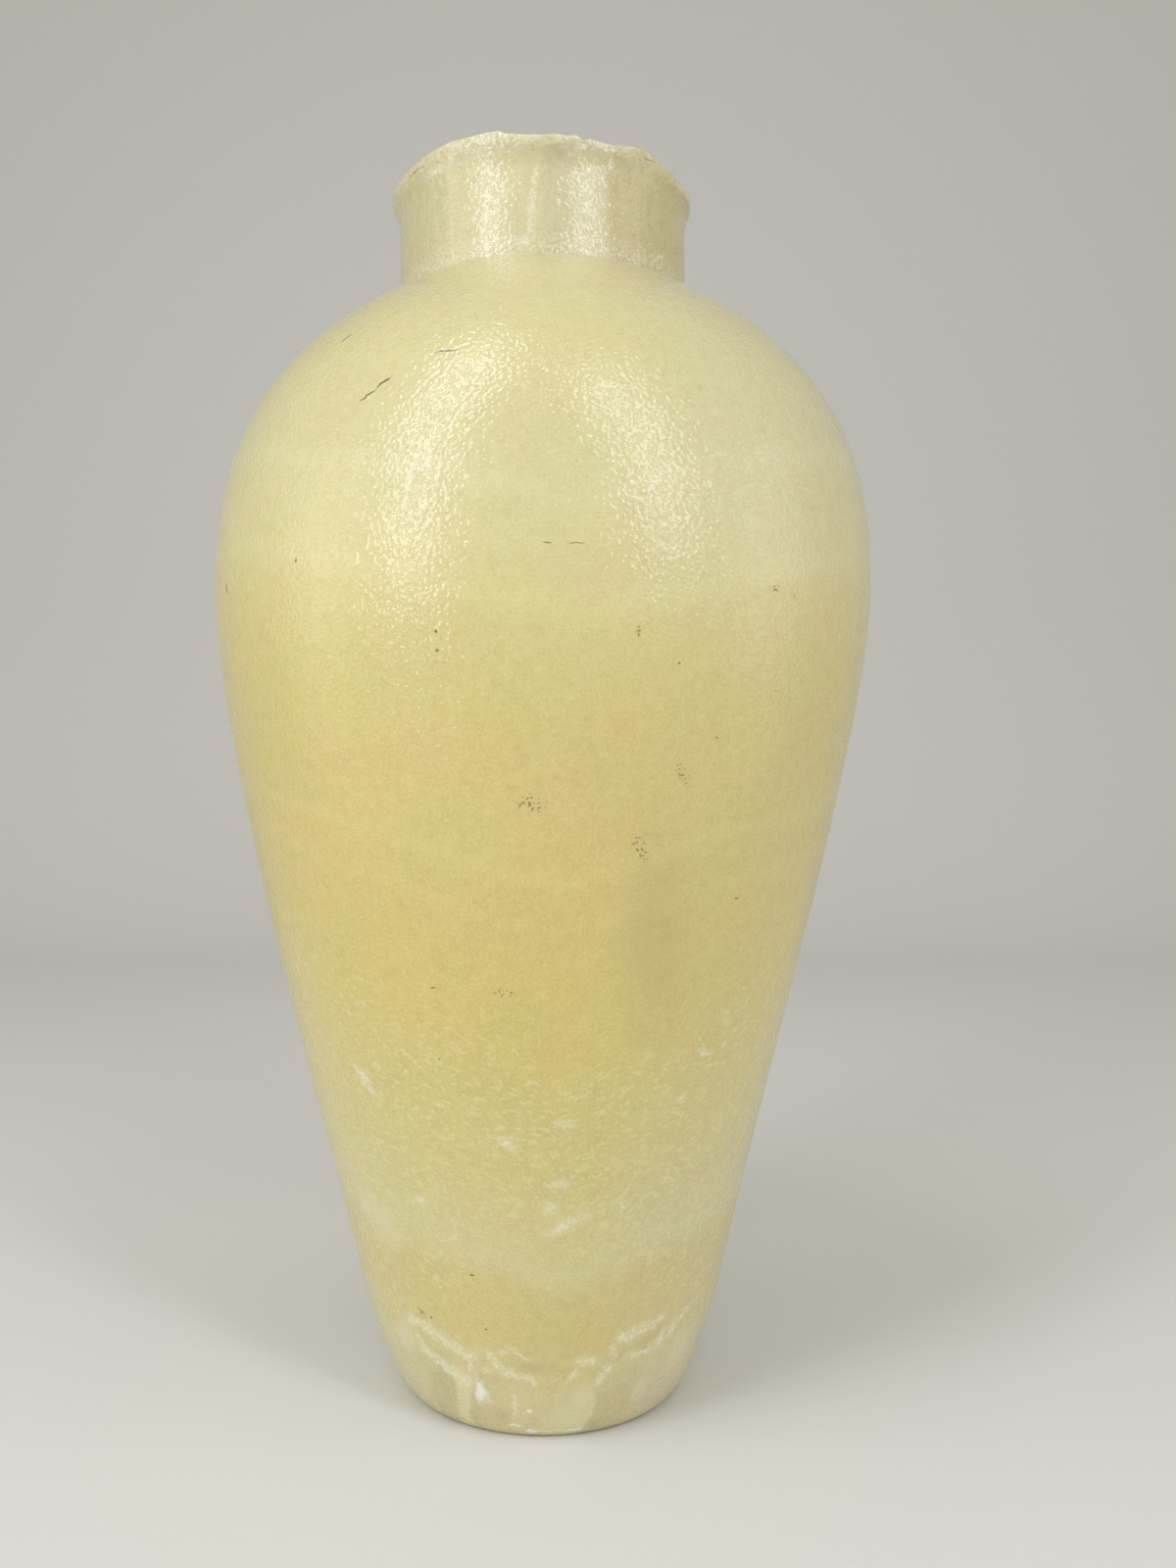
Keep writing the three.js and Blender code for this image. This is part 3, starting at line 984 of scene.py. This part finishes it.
def paper(tone):
    """Pale matt paper with a faint tooth."""
    r = Recipe("studio_paper")
    here = r.add("TexCoord").outputs["Object"]
    tooth = r.noise(here, 0.004, 3)
    shader = r.add("BsdfPrincipled")
    r.feed(shader.inputs["Base Color"], r.mix(0.05, rgba(tone), r.shade(tooth, 0.1), "OVERLAY"))
    shader.inputs["Roughness"].default_value = 0.85
    output = r.add("OutputMaterial")
    r.feed(output.inputs["Surface"], shader.outputs[0])
    return r.material


def sweep(material):
    """A floor that curves up into a backdrop."""
    mesh = bmesh.new()
    width, front, back, height, turn, steps = 16.0, -9.0, 1.6, 3.2, 0.5, 16
    arc = [UPRIGHT * i / steps for i in range(steps + 1)]
    line = [(front, 0.0)] + [(back - turn + turn * math.sin(a), turn - turn * math.cos(a)) for a in arc]
    line.append((back, height))
    verts = [mesh.verts.new((-width / 2, y, z)) for y, z in line]
    edges = [mesh.edges.new(pair) for pair in zip(verts, verts[1:])]
    made = bmesh.ops.extrude_edge_only(mesh, edges=edges)["geom"]
    moved = [item for item in made if isinstance(item, bmesh.types.BMVert)]
    bmesh.ops.translate(mesh, verts=moved, vec=(width, 0, 0))
    bmesh.ops.recalc_face_normals(mesh, faces=mesh.faces)
    for face in mesh.faces:
        face.smooth = True
    data = bpy.data.meshes.new("paper_sweep")
    mesh.to_mesh(data)
    mesh.free()
    data.materials.append(material)
    floor = bpy.data.objects.new("paper_sweep", data)
    bpy.context.scene.collection.objects.link(floor)
    return floor


def soft_box(name, middle, aim, size, power, lean=0.0, warmth=(1, 1, 1)):
    """A soft lamp, aimed at a point, with its long side leaning sideways by an angle."""
    lamp = bpy.data.lights.new(name, "AREA")
    lamp.shape = "RECTANGLE"
    lamp.size, lamp.size_y = size
    lamp.energy = power
    lamp.color = warmth
    holder = bpy.data.objects.new(name, lamp)
    facing = (Vector(aim) - Vector(middle)).to_track_quat("-Z", "Y")
    holder.matrix_world = facing.to_matrix().to_4x4() @ Euler((0, 0, lean)).to_matrix().to_4x4()
    holder.location = middle
    holder.visible_camera = False
    bpy.context.scene.collection.objects.link(holder)
    return holder


# Operators, one for each piece and one for the stage


class VASE_OT_carve(bpy.types.Operator):
    """Carve the vase from its sizes and give it its stone"""

    bl_idname = "vase.carve"
    bl_label = "Carve vase"

    def execute(self, context):
        scene = context.scene
        vase, outline = carve("calcite_vase", scene.vase_sizes)
        vase.data.materials.append(Calcite(scene.stone_colours, outline).material)
        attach(vase, "root")
        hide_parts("vase")
        return {"FINISHED"}


class VASE_OT_stage(bpy.types.Operator):
    """Lay the paper sweep, hang the lamps and place the camera"""

    bl_idname = "vase.stage"
    bl_label = "Set the stage"

    def execute(self, context):
        scene, studio = context.scene, context.scene.studio
        sweep(paper(tuple(studio.paper)))

        cool, warm = (0.95, 0.99, 1.12), (1.04, 1.0, 0.86)
        soft_box("left_box", (-0.60, -0.70, 0.92), (0, 0, 0.32), (0.21, 1.8), 6.6, math.radians(-5), cool)
        soft_box("right_box", (0.46, -0.72, 0.80), (0, 0, 0.30), (0.17, 1.05), 2.7, math.radians(17), cool)
        soft_box("left_fill", (-1.3, -0.35, 0.46), (0, 0, 0.28), (0.5, 0.9), 1.85, 0.0, warm)
        soft_box("right_fill", (1.3, -0.35, 0.46), (0, 0, 0.28), (0.5, 0.9), 1.55, 0.0, warm)
        soft_box("overhead", (-0.25, -0.1, 1.7), (0, 0, 0.2), (1.4, 1.4), 0.4, 0.0, warm)

        world = bpy.data.worlds.new("studio_air")
        world.use_nodes = True
        world.node_tree.nodes["Background"].inputs["Color"].default_value = (1.03, 0.99, 0.89, 1)
        world.node_tree.nodes["Background"].inputs["Strength"].default_value = 0.485
        scene.world = world

        camera = bpy.data.cameras.new("camera")
        camera.sensor_width = 36
        camera.lens = studio.lens
        camera.shift_x = studio.shift
        camera.clip_start = 0.01
        holder = bpy.data.objects.new("camera", camera)
        holder.location = (0, -studio.distance, studio.eye)
        holder.rotation_euler = (UPRIGHT, 0, 0)
        scene.collection.objects.link(holder)
        scene.camera = holder
        scene.view_settings.view_transform = "Standard"
        scene.view_settings.look = "None"
        return {"FINISHED"}


class VASE_PT_panel(bpy.types.Panel):
    """Sizes, colours and steps of the vase"""

    bl_label = "Banded calcite vase"
    bl_idname = "VASE_PT_panel"
    bl_space_type = "VIEW_3D"
    bl_region_type = "UI"
    bl_category = "Vase"

    def draw(self, context):
        for owner, step in ((context.scene.vase_sizes, "vase.carve"), (context.scene.studio, "vase.stage")):
            box = self.layout.box()
            for name in owner.__annotations__:
                box.prop(owner, name)
            box.operator(step)
        colours = self.layout.box()
        for name in context.scene.stone_colours.__annotations__:
            colours.prop(context.scene.stone_colours, name)


CLASSES = (VaseSizes, StoneColours, StudioSettings, VASE_OT_carve, VASE_OT_stage, VASE_PT_panel)


def register():
    for cls in CLASSES:
        bpy.utils.register_class(cls)
    bpy.types.Scene.vase_sizes = bpy.props.PointerProperty(type=VaseSizes)
    bpy.types.Scene.stone_colours = bpy.props.PointerProperty(type=StoneColours)
    bpy.types.Scene.studio = bpy.props.PointerProperty(type=StudioSettings)


def unregister():
    del bpy.types.Scene.studio
    del bpy.types.Scene.stone_colours
    del bpy.types.Scene.vase_sizes
    for cls in reversed(CLASSES):
        bpy.utils.unregister_class(cls)


def main():
    register()
    bpy.ops.vase.carve()
    bpy.ops.vase.stage()


if __name__ == "__main__":
    main()
